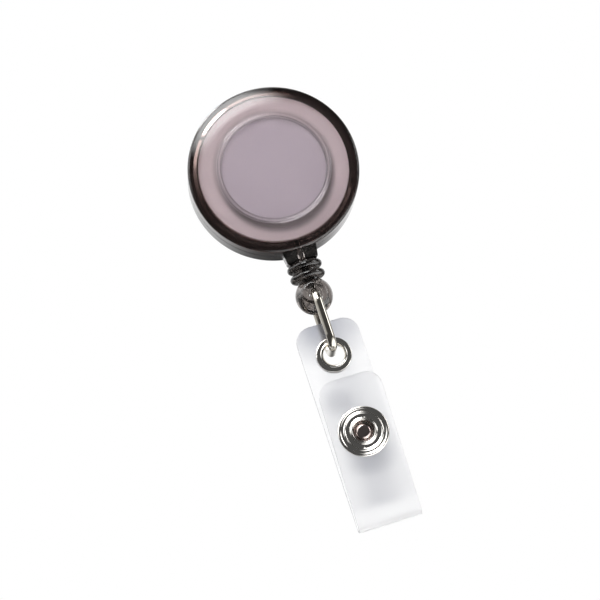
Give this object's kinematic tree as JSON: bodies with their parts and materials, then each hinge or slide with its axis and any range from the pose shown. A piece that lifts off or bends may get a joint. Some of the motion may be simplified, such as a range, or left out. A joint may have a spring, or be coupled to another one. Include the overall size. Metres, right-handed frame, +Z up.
{
  "type": "retractable badge reel",
  "caption": "Round retractable badge reel with a spring spool in a smoke case, swivel clip, cord bead, wire link and a snap-closed clear strap.",
  "frame": {"origin": "on the clip's swivel axis, where it meets the case's flat rear face", "axes": "+Z up as worn, with the cord pulling out along -Z; the round front face looks along -Y and the clip is on +Y"},
  "size_m": [0.032, 0.0192, 0.0857],
  "materials": {
    "smoke_plastic": "transparent smoke-grey moulded plastic, polished",
    "white_plastic": "white moulded plastic, satin",
    "spring_steel": "blued spring strip",
    "cord": "fine braided nylon",
    "nickel": "bright nickel plating",
    "clip_nickel": "nickel-plated pressed steel",
    "clear_vinyl": "clear flexible vinyl with a frosted haze"
  },
  "bodies": {
    "clip": {"clip_base": "clip_nickel", "clip_pin": "clip_nickel", "clip_spring": "spring_steel", "swivel_rivet": "clip_nickel", "swivel_washer": "clip_nickel"},
    "clip_jaw": {"clip_lever": "clip_nickel"},
    "case": {"front_shell": "smoke_plastic", "rear_shell": "smoke_plastic", "power_spring": "spring_steel"},
    "spool": {"spool": "white_plastic", "cord_winding": "cord"},
    "cord_tip": {"cord_lead": "cord", "cord_knot": "cord"},
    "bead": {"cord_end_bead": "smoke_plastic"},
    "link": {"link_wire": "nickel"},
    "strap": {"strap_back": "clear_vinyl", "strap_fold": "clear_vinyl", "eyelet": "nickel", "eyelet_washer": "nickel", "snap_stud": "nickel", "snap_post": "nickel"},
    "flap": {"strap_flap": "clear_vinyl", "snap_socket": "nickel", "snap_socket_back": "nickel", "snap_spring": "nickel"}
  },
  "joints": [
    {"name": "jaw_open", "type": "hinge", "parent": "clip", "child": "clip_jaw", "pos_m": [0, 0.0042, 0.0036], "axis": [1, 0, 0], "range_deg": [0, 28], "stiffness_Nm_per_rad": 0.04, "springref_deg": -20.05, "deforming": ["clip_spring"]},
    {"name": "case_swivel", "type": "hinge", "parent": "clip", "child": "case", "pos_m": [0, 0, 0], "axis": [0, 1, 0], "continuous": true},
    {"name": "spool_spin", "type": "hinge", "parent": "case", "child": "spool", "pos_m": [0, -0.004, 0], "axis": [0, 1, 0], "range_deg": [0, 5300], "deforming": ["power_spring"]},
    {"name": "cord_pull", "type": "slide", "parent": "case", "child": "cord_tip", "axis": [0, 0, -1], "range_m": [0, 0.86], "stiffness_N_per_m": 1.16, "springref_m": -0.43, "deforming": ["cord_lead"]},
    {"name": "bead_spin", "type": "hinge", "parent": "cord_tip", "child": "bead", "pos_m": [0, -0.004, -0.0248], "axis": [0, 0, 1], "continuous": true},
    {"name": "link_swing", "type": "hinge", "parent": "bead", "child": "link", "pos_m": [0, -0.004, -0.0248], "axis": [0, 1, 0], "range_deg": [-60, 60]},
    {"name": "strap_swing", "type": "hinge", "parent": "link", "child": "strap", "pos_m": [0, -0.004, -0.0355], "axis": [0, 1, 0], "range_deg": [-60, 60]},
    {"name": "flap_open", "type": "hinge", "parent": "strap", "child": "flap", "pos_m": [0, -0.00525, -0.0682], "axis": [1, 0, 0], "range_deg": [0, 160], "deforming": ["strap_fold"]}
  ],
  "couplings": [
    {"joint": "spool_spin", "follows": "cord_pull", "rad_per_m": 107}
  ]
}
